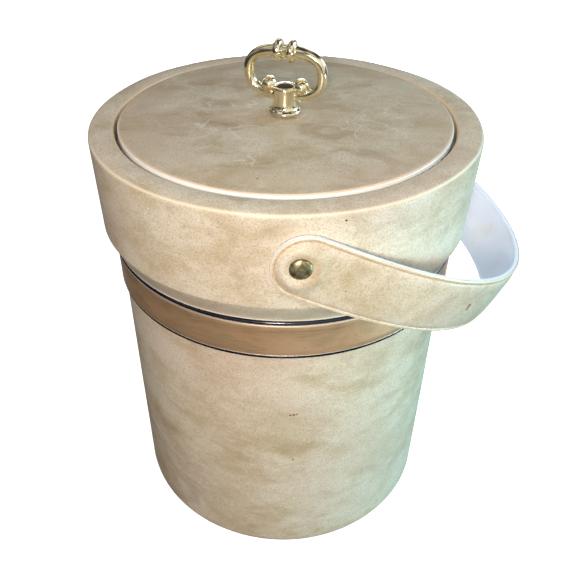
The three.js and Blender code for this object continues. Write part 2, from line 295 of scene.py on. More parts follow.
def white_plastic(name, colour):
    """Glossy moulded plastic, faintly uneven, with hairline scuffs."""
    material, sockets, place = finish(name, Roughness=0.25, Coat_Weight=0.3, Coat_Roughness=0.08)
    waves = place.noise(28, 2, 0.5)
    scuffs = place.stretched(1, 1, 0.25).noise(900, 3, 0.6).between(0.63, 0.72)
    yellowing = place.noise(14, 3, 0.6).between(0.45, 0.75)
    aged = tuple(c * share for c, share in zip(colour, (0.97, 0.95, 0.88)))
    feed(sockets, Base_Color=yellowing.tint(colour, aged))
    feed(sockets, Roughness=0.2 + waves * 0.12 + scuffs * 0.2)
    feed(sockets, Normal=waves.bump(0.25 * MM, 0.5, scuffs.bump(0.01 * MM)))
    return material


liner_plastic = white_plastic("liner_plastic", rgb(236, 235, 231))
WELL_R = 80 * MM
LINER_WALL = 2 * MM
LINER_CORNER = 6 * MM
WELL_CORNER = 5 * MM
FLANGE_THICK = 1.3 * MM
FLANGE_EDGE = 0.6 * MM
MOUTH_EASE = 1.6 * MM
FOOT_RING_R = 52 * MM
FOOT_RING_RISE = 1.4 * MM

flange_r, liner_bottom, rim_z = radii("inner_liner")
tub_r = WELL_R + LINER_WALL
well_floor = liner_bottom + LINER_WALL
flange_z = rim_z - FLANGE_THICK
liner_outline = [
    (0, liner_bottom),
    *arc(tub_r - LINER_CORNER, liner_bottom + LINER_CORNER, LINER_CORNER, -90, 0, 6),
    (tub_r, flange_z),
    *arc(flange_r - FLANGE_EDGE, flange_z + FLANGE_EDGE, FLANGE_EDGE, -90, 90, 6),
    *arc(WELL_R + MOUTH_EASE, rim_z - MOUTH_EASE, MOUTH_EASE, 90, 180, 6),
    *arc(WELL_R - WELL_CORNER, well_floor + WELL_CORNER, WELL_CORNER, 0, -90, 8),
    *arc(FOOT_RING_R, well_floor, FOOT_RING_RISE, 0, 180, 8),
    (0, well_floor),
]
liner = turned("liner_tub", liner_outline, liner_plastic)
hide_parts("inner_liner")


# ---- Drum covering ------------------------------------------------------------------------
# Leather-look vinyl, printed with soft brown clouds over cream and embossed with a fine
# pebble grain. It is glued round the tube, lapped down the back, and turned under the foot.

MILK = rgb(238, 225, 203)
CREAM = rgb(230, 215, 190)
TAN = rgb(216, 198, 168)
OLIVE = rgb(194, 173, 136)
BROWN = rgb(160, 128, 92)


def vinyl_cloth(name, lean=(1, 1, 1.35), edge_tones_and_painted_light=(), marks=(), depth=1.0, shade=1.0):
    """The printed vinyl. lean stretches the print, larger numbers being shorter clouds.
    The edge rings, each (radius, height, reach, share, colour), carry painted highlights and painted
    shade along edges and bevels, and tone changes towards an edge.
    marks are (x, y, z, size, colour) of small spots. depth strengthens the brown smudges, and
    shade darkens the whole print."""
    material, sockets, place = finish(
        name, Roughness=0.42, Coat_Weight=0.1, Coat_Roughness=0.22, Specular_IOR_Level=0.4
    )
    clouds = place.stretched(*lean).noise(19, 3, 0.5, 0.8)
    patches = place.stretched(*lean).noise(56, 6, 0.64, 0.5)
    mist = place.noise(170, 4, 0.7)
    printed = clouds * 0.40 + patches * 0.44 + mist * 0.16
    stops = ((0.35, OLIVE), (0.46, TAN), (0.55, CREAM), (0.7, MILK))
    colour = printed.ramp(*[(at, darker(tone, shade)) for at, tone in stops])

    smudge = place.stretched(*lean).noise(31, 4, 0.55, 1.0).between(0.54, 0.70)
    colour = (smudge * 0.3 * depth).tint(colour, BROWN)
    chalk = place.stretched(0.8, 0.8, 3.4).noise(42, 2, 0.4, 0.6)
    streaks = chalk.math("ABSOLUTE", chalk - 0.5).between(0.014, 0.002)
    streaks = streaks * place.noise(24, 3, 0.6).between(0.50, 0.62)
    colour = (streaks * 0.6).tint(colour, rgb(242, 235, 220))
    blush = place.noise(13, 2, 0.5).between(0.50, 0.64)
    colour = (blush * 0.35).tint(colour, darker(rgb(224, 200, 182), shade))
    grit = place.noise(1250, 3, 0.75)
    colour = (grit.between(0.45, 0.66) * 0.46).tint(colour, darker(BROWN, 0.95))

    x, y, z = place.part("X"), place.part("Y"), place.part("Z")
    radius = (x * x + y * y) ** 0.5
    # Rings round edges: painted highlights, painted shade and tone changes.
    for edge_r, edge_z, reach, share, tone in edge_tones_and_painted_light:
        away = ((radius - edge_r) ** 2.0 + (z - edge_z) ** 2.0) ** 0.5
        colour = (away.between(reach, reach * 0.2) * share).tint(colour, tone)
    for at_x, at_y, at_z, size, tone in marks:
        ragged = place.noise(700, 3, 0.7) * size * 1.6
        away = ((x - at_x) ** 2.0 + (y - at_y) ** 2.0 + (z - at_z) ** 2.0) ** 0.5 + ragged
        colour = away.between(size * 1.9, size * 1.2).tint(colour, tone)

    pebbles = place.node(
        "ShaderNodeTexVoronoi",
        {"feature": "SMOOTH_F1"},
        {"Vector": place, "Scale": 1050.0, "Smoothness": 0.5, "Randomness": 1.0},
    )
    grain = pebbles * 0.6 + grit * 0.8
    creases = place.stretched(1, 1, 1.4).noise(80, 4, 0.55, 0.6)
    feed(
        sockets,
        Base_Color=colour,
        Roughness=0.34 + mist * 0.14 + grit * 0.14,
        Normal=creases.bump(0.22 * MM, 0.4, grain.bump(0.10 * MM, 0.8)),
    )
    return material


body_r, hem_z, wrap_top = radii("drum_vinyl_wrap")
VINYL = 0.7 * MM
FOOT_ROUND = 5 * MM
HEM_R = 84.6 * MM
LAP = 13 * MM
BACK = math.pi / 2
# The ring just under the band's trim line, where a pale line is painted on as a highlight.
HIGHLIGHT_R = 92.1 * MM
HIGHLIGHT_Z = 157.2 * MM


def hand_wrapped(angle, r, z):
    """The lap down the back, and the slight unevenness of a glued sheet."""
    past = (angle - BACK) * r
    lap = 0.5 * MM * (1 - past / LAP) if 0 <= past <= LAP else 0
    uneven = 0.10 * MM * math.sin(3 * angle + 22 * z) + 0.06 * MM * math.sin(7 * angle - 41 * z)
    return lap + uneven, 0


RUST = rgb(140, 74, 30)
body_vinyl = vinyl_cloth(
    "body_vinyl",
    lean=(0.85, 0.85, 1.5),
    # Painted highlight: a pale line just under the trim line.
    edge_tones_and_painted_light=[(HIGHLIGHT_R, HIGHLIGHT_Z, 0.9 * MM, 0.6, rgb(244, 234, 216))],
    marks=[
        (-0.0019, -0.092, 0.1160, 0.0008, RUST),
        (0.0000, -0.092, 0.1162, 0.0010, RUST),
        (0.0015, -0.092, 0.1166, 0.0007, RUST),
        (0.0003, -0.092, 0.0803, 0.0007, RUST),
    ],
)
foot_centre = body_r - FOOT_ROUND
foot_z = hem_z + FOOT_ROUND
wrap_outline = [
    (HEM_R, hem_z),
    *arc(foot_centre, foot_z, FOOT_ROUND, -90, 0, 10),
    *level(48, (body_r, foot_z + 1 * MM), (body_r, wrap_top)),
    (body_r - VINYL, wrap_top),
    *arc(foot_centre, foot_z, FOOT_ROUND - VINYL, 0, -90, 8),
    (HEM_R, hem_z + VINYL),
]
wrap = turned("drum_covering", wrap_outline, body_vinyl, around=360, shift=hand_wrapped)
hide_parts("drum_vinyl_wrap")

cover_r, _, cover_top = radii("base_cover")
EASE = 0.5 * MM
base_outline = [
    (0, 0),
    *arc(cover_r - EASE, EASE, EASE, -90, 0, 4),
    *arc(cover_r - EASE, cover_top - EASE, EASE, 0, 90, 4),
    (0, cover_top),
]
base = turned("base_covering", base_outline, vinyl_cloth("base_vinyl", lean=(1, 1, 1), depth=1.6))
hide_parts("base_cover")


# ---- Band and trim lines ------------------------------------------------------------------
# A strip of bronze-coloured foil, brushed along its length and lacquered, wraps the drum
# below the collar. A glossy navy bead covers its top edge and a thin navy line its bottom one.

band_r, band_low, band_high = radii("metal_band")
bead_outer, bead_low, bead_high = radii("upper_trim_bead")
line_r, line_low, line_high = radii("lower_trim_line")


def brushed_bronze():
    """Lacquered foil with long strokes, with painted shade under the bead and painted highlights along
    its edges.
    """
    material, sockets, place = finish(
        "brushed_bronze", Metallic=0.7, Roughness=0.4, Coat_Weight=0.35, Coat_Roughness=0.12
    )
    strokes = place.stretched(0.05, 0.05, 1).noise(1800, 4, 0.7)
    stain = place.stretched(1, 1, 2.5).noise(26, 4, 0.6, 0.4)
    colour = stain.ramp((0.3, rgb(176, 130, 90)), (0.5, rgb(228, 182, 138)), (0.7, rgb(212, 178, 134)))
    height = place.part("Z")
    # Painted shade: the band darkens towards its top, under the bead, besides its random dark stains.
    shade_under_bead = height.between(band_high - 10 * MM, band_high + 1 * MM)
    colour = (shade_under_bead * 0.42 + stain.between(0.5, 0.62) * 0.18).tint(colour, rgb(104, 78, 50))
    colour = (strokes.between(0.35, 0.65) * 0.5).tint(colour, rgb(236, 196, 152))
    # Painted highlights: pale lines along the band's top and bottom edges.
    upper_edge_highlight = height.between(band_high - 1.3 * MM, band_high - 0.8 * MM)
    lower_edge_highlight = height.between(band_low + 0.7 * MM, band_low + 0.3 * MM)
    colour = ((upper_edge_highlight + lower_edge_highlight) * 0.7).tint(colour, rgb(240, 224, 200))
    spots = place.noise(260, 2, 0.5).between(0.70, 0.78)
    feed(
        sockets,
        Base_Color=(spots * 0.6).tint(colour, rgb(92, 66, 40)),
        Roughness=0.32 + strokes * 0.16 + stain * 0.1,
        Normal=strokes.bump(0.02 * MM, 0.6, stain.bump(0.5 * MM, 0.25)),
    )
    return material


def navy_gloss():
    """Glossy navy plastic, lightly scuffed."""
    material, sockets, place = finish("navy_gloss", Roughness=0.15, Coat_Weight=0.6, Coat_Roughness=0.05)
    scuff = place.noise(420, 4, 0.65)
    feed(
        sockets,
        Base_Color=scuff.ramp((0.3, rgb(7, 9, 24)), (0.8, rgb(22, 26, 50))),
        Roughness=0.1 + scuff * 0.25,
        Normal=scuff.bump(0.03 * MM, 0.5),
    )
    return material


navy = navy_gloss()
GLUE_GAP = 0.3 * MM
ROLL = 0.16 * MM
FACE_SINK = 0.04 * MM
under_band = body_r + GLUE_GAP
face_r = band_r - FACE_SINK
band_outline = [
    (under_band, band_low),
    *arc(band_r - ROLL, band_low + ROLL, ROLL, -90, 60, 6),
    *level(6, (face_r, band_low + 2.2 * ROLL), (face_r, band_high - 2.2 * ROLL)),
    *arc(band_r - ROLL, band_high - ROLL, ROLL, -60, 90, 6),
    (under_band, band_high),
]


def slack_foil(angle, r, z):
    """The foil lies a little slack on the drum, which its reflections show."""
    if r < band_r - 2 * ROLL:
        return 0, 0
    return 0.05 * MM * math.sin(5 * angle + 160 * z) + 0.04 * MM * math.sin(11 * angle), 0


band = turned("brushed_band", band_outline, brushed_bronze(), around=360, shift=slack_foil)
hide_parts("metal_band")

bead_section = (bead_high - bead_low) / 2
bead_centre = bead_outer - bead_section
bead_middle = (bead_high + bead_low) / 2
bead_outline = arc(bead_centre, bead_middle, bead_section, 0, 345, 23)
bead = turned("navy_bead", bead_outline, navy, around=300, sharp=80)
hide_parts("upper_trim_bead")

LINE_EDGE = 0.15 * MM
line_outline = [
    (under_band, line_low),
    *arc(line_r - LINE_EDGE, line_low + LINE_EDGE, LINE_EDGE, -90, 0, 4),
    *arc(line_r - LINE_EDGE, line_high - LINE_EDGE, LINE_EDGE, 0, 90, 4),
    (under_band, line_high),
]
line = turned("navy_line", line_outline, navy, around=300)
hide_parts("lower_trim_line")


# ---- Collar -------------------------------------------------------------------------------
# A second, larger board hoop stands off the drum on two spacers. A ring of foam softens its
# flat top, and one piece of vinyl covers it from the mouth over the shoulder to the bevel.

paint(board, "collar_lower_spacer", "collar_upper_spacer", "collar_hoop", "collar_top_ring")

collar_r, lip_z, collar_top = radii("collar_vinyl_cover")
MOUTH_R = 87 * MM
MOUTH_ROUND = 1.3 * MM
MOUTH_BOTTOM = rim_z + 0.5 * MM
SHOULDER = 2.3 * MM
CREASE_R = 99.0 * MM
CREASE_Z = 192.4 * MM
LIP_R = 94.4 * MM
LIP_ROLL = 0.7 * MM
PAD_RISE = 0.35 * MM
mouth_inner = MOUTH_R + MOUTH_ROUND
shoulder_centre = collar_r - SHOULDER


def padded_top(r):
    share = (r - mouth_inner) / (shoulder_centre - mouth_inner)
    return collar_top + PAD_RISE * math.sin(math.pi * share)


def hand_covered(angle, r, z):
    """The covering's own lap at the back and the soft unevenness of its padding."""
    past = (angle - BACK) * r
    lap = 0.55 * MM * (1 - past / LAP) if 0 <= past <= LAP and z < collar_top - 4 * MM else 0
    if r < MOUTH_R + 1 * MM:
        lap = 0
    side = 0.10 * MM * math.sin(4 * angle + 30 * z) + 0.07 * MM * math.sin(9 * angle - 55 * z)
    flat = 0.10 * MM * math.sin(6 * angle) + 0.06 * MM * math.sin(13 * angle + 1)
    return lap + side, flat if z > collar_top - 1.5 * MM else 0


top_radii = [shoulder_centre + (mouth_inner - shoulder_centre) * i / 10 for i in range(1, 10)]
collar_outline = [
    *arc(LIP_R - LIP_ROLL, lip_z + LIP_ROLL, LIP_ROLL, -90, 20, 5),
    *level(6, (LIP_R + 0.15 * MM, lip_z + 1.6 * MM), (CREASE_R - 0.5 * MM, CREASE_Z - 1.0 * MM)),
    *arc(CREASE_R - 0.6 * MM, CREASE_Z + 0.2 * MM, 0.6 * MM, -40, 0, 3),
    *level(14, (CREASE_R + 0.02 * MM, CREASE_Z + 1.2 * MM), (collar_r, collar_top - SHOULDER - 0.5 * MM)),
    *arc(shoulder_centre, collar_top - SHOULDER, SHOULDER, 0, 90, 8),
    *[(r, padded_top(r)) for r in top_radii],
    *arc(mouth_inner, collar_top - MOUTH_ROUND, MOUTH_ROUND, 90, 180, 6),
    *level(3, (MOUTH_R, collar_top - 2 * MOUTH_ROUND), (MOUTH_R, MOUTH_BOTTOM)),
    (MOUTH_R + VINYL, MOUTH_BOTTOM),
    (MOUTH_R + VINYL, collar_top - MOUTH_ROUND - VINYL),
    (mouth_inner, collar_top - VINYL),
    (shoulder_centre, collar_top - VINYL),
    (collar_r - VINYL, collar_top - SHOULDER),
    (CREASE_R - VINYL, CREASE_Z + 0.2 * MM),
    (LIP_R - 2 * LIP_ROLL, lip_z + 1.4 * LIP_ROLL),
]
# Peach of the painted highlights on rolled edges.
PEACH_HIGHLIGHT = rgb(238, 206, 172)
collar_vinyl = vinyl_cloth(
    "collar_vinyl",
    lean=(1, 1, 1.6),
    marks=[(0.0186, -0.0983, 0.2370, 0.0007, rgb(104, 70, 44))],
    edge_tones_and_painted_light=[
        # Painted highlight along the shoulder.
        (collar_r - 0.7 * MM, collar_top - 0.7 * MM, 0.95 * MM, 0.75, rgb(248, 232, 204)),
        # Painted highlight on the mouth's rolled edge.
        (MOUTH_R + 0.5 * MM, collar_top - 0.5 * MM, 1.5 * MM, 0.8, PEACH_HIGHLIGHT),
        # Painted shade on the bevel, which faces down.
        (LIP_R + 2.6 * MM, lip_z + 6.0 * MM, 7.5 * MM, 0.32, rgb(132, 112, 92)),
        # Painted highlight along the lip.
        (LIP_R, lip_z + 0.4 * MM, 1.2 * MM, 0.8, rgb(240, 224, 200)),
    ],
)
collar = turned("collar_covering", collar_outline, collar_vinyl, around=360, shift=hand_covered, sharp=50)
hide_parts("collar_vinyl_cover")

pad_r, pad_low, pad_high = radii("collar_pad")
pad_inner = MOUTH_R + VINYL + 0.9 * MM
PAD_ROUND = 1.1 * MM
collar_pad_outline = [
    *arc(pad_r - PAD_ROUND, pad_low + PAD_ROUND, PAD_ROUND, -90, 0, 5),
    *arc(pad_r - PAD_ROUND, pad_high - PAD_ROUND, PAD_ROUND, 0, 90, 5),
    *arc(pad_inner + PAD_ROUND, pad_high - PAD_ROUND, PAD_ROUND, 90, 180, 5),
    *arc(pad_inner + PAD_ROUND, pad_low + PAD_ROUND, PAD_ROUND, 180, 270, 5),
]
collar_padding = turned("collar_foam_ring", collar_pad_outline, foam, around=180)
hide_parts("collar_pad")


# ---- Rivets -------------------------------------------------------------------------------
# Two antiqued brass rivets hold the strap to the collar, one in front and one behind. Each
# has a low hammered dome, and its shank is spread over a steel washer inside the hoop.

def drilled(piece, radius):
    """Cuts the rivet holes, which run right through along Y."""
    drill = bmesh.new()
    bmesh.ops.create_cone(
        drill, segments=32, radius1=radius, radius2=radius, depth=DRILL_LENGTH, cap_ends=True
    )
    drill.transform(Matrix.Translation((0, 0, rivet_z)) @ Matrix.Rotation(math.pi / 2, 4, "X"))
    mesh = bpy.data.meshes.new("drill")
    drill.to_mesh(mesh)
    drill.free()
    bit = put("drill", mesh)
    cut = piece.modifiers.new("holes", "BOOLEAN")
    cut.operation = "DIFFERENCE"
    cut.solver = "EXACT"
    cut.object = bit
    baked(piece)
    bpy.data.objects.remove(bit)
    bpy.data.meshes.remove(mesh)


def baked(piece):
    """Makes the result of a piece's modifiers its own mesh."""
    ready = bpy.context.evaluated_depsgraph_get()
    ready.update()
    mesh = bpy.data.meshes.new_from_object(piece.evaluated_get(ready))
    piece.modifiers.clear()
    piece.data = mesh


def antique_brass():
    """Dark brass, worn bright in patches, with fine pits."""
    material, sockets, place = finish("antique_brass", Metallic=1.0, Roughness=0.35)
    worn = place.noise(330, 4, 0.6, 0.6)
    pits = place.noise(1500, 2, 0.5)
    colour = worn.ramp((0.32, rgb(112, 98, 66)), (0.5, rgb(158, 144, 106)), (0.66, rgb(196, 186, 150)))
    feed(
        sockets,
        Base_Color=pits.between(0.62, 0.72).tint(colour, rgb(66, 54, 32)),
        Roughness=0.26 + pits * 0.16 + worn * 0.14,
        Normal=worn.bump(0.25 * MM, 0.5, pits.bump(0.04 * MM, 0.6)),
    )
    return material


def zinc():
    """Zinc-plated steel with its small crystals."""
    material, sockets, place = finish("zinc_plate", Metallic=1.0, Roughness=0.4)
    crystals = place.node("ShaderNodeTexVoronoi", {"feature": "F1"}, {"Vector": place, "Scale": 900.0})
    feed(sockets, Base_Color=crystals.ramp((0.1, rgb(176, 180, 184)), (0.8, rgb(136, 140, 146))))
    feed(sockets, Roughness=0.32 + crystals * 0.25, Normal=crystals.bump(0.03 * MM, 0.5))
    return material


rivet_low, rivet_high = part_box("front_rivet")
rivet_z = (rivet_low.z + rivet_high.z) / 2
HEAD_R = (rivet_high.x - rivet_low.x) / 2
head_top = -rivet_low.y
HEAD_THICK = 2.5 * MM
head_seat = head_top - HEAD_THICK
rivet_tail = -rivet_high.y
SHANK_R = 2 * MM
SPREAD_R = SHANK_R + 0.7 * MM
HEAD_EDGE = 0.35 * MM
HOLE_R = 2.3 * MM
DRILL_LENGTH = 0.25


def hammered(angle, r, z):
    """The flats that a hammer leaves on the dome."""
    if z < head_seat + HEAD_EDGE or r > HEAD_R - HEAD_EDGE / 2:
        return 0, 0
    spot = Vector((r * math.cos(angle), r * math.sin(angle), 0)) / (2.1 * MM)
    dent = noise.noise(spot + Vector((3.1, 1.7, 0)))
    return 0, -0.16 * MM * abs(dent) * min(1, (HEAD_R - r) / (1.2 * MM))


brass = antique_brass()
steel = zinc()
paint(steel, "front_rivet_washer", "rear_rivet_washer")
dome_rise = head_top - head_seat - 2 * HEAD_EDGE
dome_angles = [math.radians(5 + 85 * i / 26) for i in range(26)]
dome_foot = head_seat + 2 * HEAD_EDGE
rivet_outline = [
    (0, rivet_tail),
    (SPREAD_R, rivet_tail),
    (SPREAD_R, rivet_tail + 0.7 * MM),
    (SHANK_R, rivet_tail + 0.9 * MM),
    (SHANK_R, head_seat),
    *arc(HEAD_R - HEAD_EDGE, head_seat + HEAD_EDGE, HEAD_EDGE, -90, 0, 4),
    *[(HEAD_R * math.cos(a), dome_foot + dome_rise * math.sin(a)) for a in dome_angles],
    (0, head_top),
]
for side, turn in (("front", 90), ("rear", -90)):
    stand = Matrix.Translation((0, 0, rivet_z)) @ Matrix.Rotation(math.radians(turn), 4, "X")
    rivet = turned(side + "_dome_rivet", rivet_outline, brass, around=72, shift=hammered, stand=stand)
    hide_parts(side + "_rivet")

drilled(collar, HOLE_R)


# ---- Strap handle -------------------------------------------------------------------------
# A stiff fibre strip bent to one bow, wrapped in tan vinyl over thin padding and lined with
# smooth white sheet. Cover and lining are welded together just inside the rounded edge.

# Half the strap's width in millimetres, which is also the inset of its middle from the edge.
STRAP_MIDDLE = 16
STRAP_HALF = STRAP_MIDDLE * MM
STRAP_REACH = 135 * MM
STRAP_SPAN = 102.4 * MM
STRAP_END = 12.8 * MM
LEG_POWER = 2 / 2.83
SLOPE_REACH = 1.5 * MM
HANG = math.radians(115)
out_way = Vector((math.sin(HANG), 0, math.cos(HANG)))
side_way = Vector((0, 1, 0))
width_way = Vector((-math.cos(HANG), 0, math.sin(HANG)))


def bow_line():
    """The strap's middle line as an even walk: places and outward directions."""
    rough = [(-STRAP_END, -STRAP_SPAN)]
    steps = 1600
    for i in range(steps + 1):
        t = math.pi * i / steps
        rough.append((STRAP_REACH * max(math.sin(t), 0) ** LEG_POWER, -STRAP_SPAN * math.cos(t)))
    rough.append((-STRAP_END, STRAP_SPAN))
    rough = np.array(rough)
    walked = np.concatenate([[0], np.cumsum(np.linalg.norm(np.diff(rough, axis=0), axis=1))])
    return rough, walked


rough_bow, walked_bow = bow_line()
STRAP_LENGTH = float(walked_bow[-1])


def bow_place(s):
    """The middle line's reach and sideways place at s along it."""
    return [float(np.interp(s, walked_bow, rough_bow[:, k])) for k in (0, 1)]


def on_bow(s, w, height):
    """The place on the strap at s along it, w across it and height outwards from its middle."""
    x, y = bow_place(s)
    back_x, back_y = bow_place(max(s - SLOPE_REACH, 0))
    ahead_x, ahead_y = bow_place(min(s + SLOPE_REACH, STRAP_LENGTH))
    along_x, along_y = ahead_x - back_x, ahead_y - back_y
    length = math.hypot(along_x, along_y)
    nx, ny = along_y / length, -along_x / length
    middle = Vector((0, 0, rivet_z)) + out_way * (x + nx * height) + side_way * (y + ny * height)
    return middle + width_way * w


def strap_loop(inset):
    """The strap's outline, drawn in by inset: pairs of s and w going round once."""
    half = STRAP_HALF - inset
    ends, sides = 20, 210
    first, last = STRAP_HALF, STRAP_LENGTH - STRAP_HALF
    loop = []
    for i in range(sides):
        loop.append((first + (last - first) * i / sides, -half))
    for i in range(ends):
        a = -math.pi / 2 + math.pi * i / ends
        loop.append((last + half * math.cos(a), half * math.sin(a)))
    for i in range(sides):
        loop.append((last - (last - first) * i / sides, half))
    for i in range(ends):
        a = math.pi / 2 + math.pi * i / ends
        loop.append((first + half * math.cos(a), half * math.sin(a)))
    return loop


def strap_layer(name, section, materials, swell=None):
    """A closed layer of the strap from its section in millimetres: (inset, height, material)
    from the middle of one face, over the edge, to the middle of the other."""
    points, faces, kinds = [], [], []
    for inset, height in [(inset * MM, height * MM) for inset, height, _ in section]:
        for s, w in strap_loop(inset):
            points.append(on_bow(s, w, height + (swell(s, w, inset, height) if swell else 0)))
    count = len(points) // len(section)
    for k in range(len(section) - 1):
        for i in range(count):
            j = (i + 1) % count
            faces.append([k * count + i, k * count + j, (k + 1) * count + j, (k + 1) * count + i])
            kinds.append(section[k + 1][2])
    return place_mesh(name, points, faces, materials, "handle", 50, kinds)


RIVET_S = STRAP_END
SWELL = 1.6 * MM
PADDED_FROM = 2.1 * MM
UNDER_HEAD = 1.72 * MM
BULGE_R = 8.4 * MM
BULGE_WIDTH = 3.2 * MM


def pressed_by_rivets(s, w, inset, height):
    """Padding bulges in a ring round each rivet head and lies flat under it."""
    if height < 1.0 * MM or inset < PADDED_FROM:
        return 0
    near = min(math.hypot(s - RIVET_S, w), math.hypot(s - (STRAP_LENGTH - RIVET_S), w))
    edge = min(1, (inset - 2.0 * MM) / (2.5 * MM))
    ring = SWELL * math.exp(-(((near - BULGE_R) / BULGE_WIDTH) ** 2)) * edge
    share = min(1, max(0, (near - 4.8 * MM) / (2.2 * MM)))
    soft = share * share * (3 - 2 * share)
    wave = 0.06 * MM * noise.noise(Vector((s, w, 0)) / (9 * MM))
    return ring * soft + (UNDER_HEAD - height) * (1 - soft) + wave


# Places in the cover's list of finishes.
FACE, RIM, WELD = 0, 1, 2
cover_section = [
    (STRAP_MIDDLE, 2.05, FACE),
    (13.5, 2.04, FACE),
    (11, 2.0, FACE),
    (9, 1.95, FACE),
    (7.2, 1.9, FACE),
    (5.8, 1.82, FACE),
    (4.6, 1.68, FACE),
    (3.6, 1.54, FACE),
    (2.8, 1.32, FACE),
    (2.25, 1.04, FACE),
    (2.0, 0.86, WELD),
    (1.82, 0.86, WELD),
    (1.66, 1.0, FACE),
    (1.4, 1.18, FACE),
    (1.05, 1.27, FACE),
    (0.7, 1.24, FACE),
    (0.36, 1.1, RIM),
    (0.12, 0.86, RIM),
    (0.0, 0.6, RIM),
    (0.1, 0.38, RIM),
    (1.4, 0.38, RIM),
    (8, 0.38, RIM),
    (STRAP_MIDDLE, 0.38, RIM),
]
core_section = [
    (STRAP_MIDDLE, 0.3, FACE),
    (1.9, 0.3, FACE),
    (1.6, 0.1, FACE),
    (1.6, -0.45, FACE),
    (1.9, -0.65, FACE),
    (STRAP_MIDDLE, -0.65, FACE),
]
lining_section = [
    (STRAP_MIDDLE, -0.72, FACE),
    (1.7, -0.72, FACE),
    (1.35, -0.5, FACE),
    (1.2, 0.3, FACE),
    (0.5, 0.3, FACE),
    (0.22, 0.12, FACE),
    (0.15, -0.3, FACE),
    (0.2, -0.9, FACE),
    (0.45, -1.3, FACE),
    (0.9, -1.5, FACE),
    (1.6, -1.58, FACE),
    (2.2, -1.46, FACE),
    (2.6, -1.36, FACE),
    (3.1, -1.48, FACE),
    (4.0, -1.6, FACE),
    (8.0, -1.62, FACE),
    (STRAP_MIDDLE, -1.62, FACE),
]


def seam_vinyl():
    """The bottom of the weld groove, darker brown than the cover, in blotches."""
    material, sockets, place = finish("weld_groove", Roughness=0.6)
    blotches = place.noise(300, 4, 0.6)
    feed(sockets, Base_Color=blotches.ramp((0.35, rgb(176, 134, 98)), (0.65, rgb(214, 184, 150))))
    feed(sockets, Roughness=0.5 + blotches * 0.3, Normal=blotches.bump(0.05 * MM, 0.6))
    return material


def rim_vinyl():
    """The welded rim, rubbed pale and a little pink."""
    material, sockets, place = finish("rubbed_rim", Roughness=0.38, Coat_Weight=0.15, Coat_Roughness=0.2)
    rub = place.noise(60, 4, 0.6)
    grain = place.noise(900, 3, 0.6)
    feed(sockets, Base_Color=rub.ramp((0.35, rgb(232, 210, 180)), (0.6, rgb(246, 232, 210))))
    feed(sockets, Roughness=0.32 + grain * 0.2, Normal=grain.bump(0.05 * MM, 0.5))
    return material


def white_lining():
    """Smooth white sheet with a few faint yellow stains. It glows a faint blue, painted light that
    brightens it.
    """
    # The emission is painted light: a faint blue glow.
    material, sockets, place = finish(
        "white_lining", Roughness=0.35, Coat_Weight=0.1, Emission_Strength=0.28
    )
    stains = place.noise(34, 4, 0.6).between(0.60, 0.74)
    grain = place.noise(700, 2, 0.5)
    feed(sockets, Base_Color=(stains * 0.5).tint(rgb(240, 243, 249), rgb(228, 212, 188)))
    feed(sockets, Roughness=0.3 + grain * 0.15, Normal=grain.bump(0.03 * MM, 0.5))
    # Colour of the painted glow, duller on the stains.
    feed(sockets, Emission_Color=stains.tint((0.38, 0.53, 0.92), (0.36, 0.42, 0.50)))
    return material


strap_vinyl = vinyl_cloth(
    "strap_vinyl",
    lean=(1.3, 1, 1.3),
    marks=[
        (0.0807, -0.0870, 0.1797, 0.0011, RUST),
        (0.0814, -0.0874, 0.1809, 0.0011, RUST),
        (0.0820, -0.0877, 0.1821, 0.0011, RUST),
        (0.0195, -0.1041, 0.2052, 0.0005, rgb(160, 118, 84)),
        (0.0226, -0.1039, 0.2044, 0.0006, rgb(228, 176, 130)),
    ],
)
strap_skins = [strap_vinyl, rim_vinyl(), seam_vinyl()]
strap_cover = strap_layer("strap_covering", cover_section, strap_skins, pressed_by_rivets)
strap_core = strap_layer("strap_strip", core_section, [board])
strap_lining = strap_layer("strap_inner_lining", lining_section, [white_lining()])
for layer, stands_for, slot in (
    (strap_cover, "strap_cover", "body_vinyl"),
    (strap_core, "strap_core", "fibreboard"),
    (strap_lining, "strap_lining", "white_vinyl"),
):
    drilled(layer, HOLE_R)
    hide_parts(stands_for)


# ---- Lid: moulded shell, insulation and board ---------------------------------------------
# A white plastic shell drops into the liner's mouth. Foam and a board disc fill it from
# above, and the board takes the knob's screw.

paint(foam, "lid_insulation")
paint(board, "lid_board")

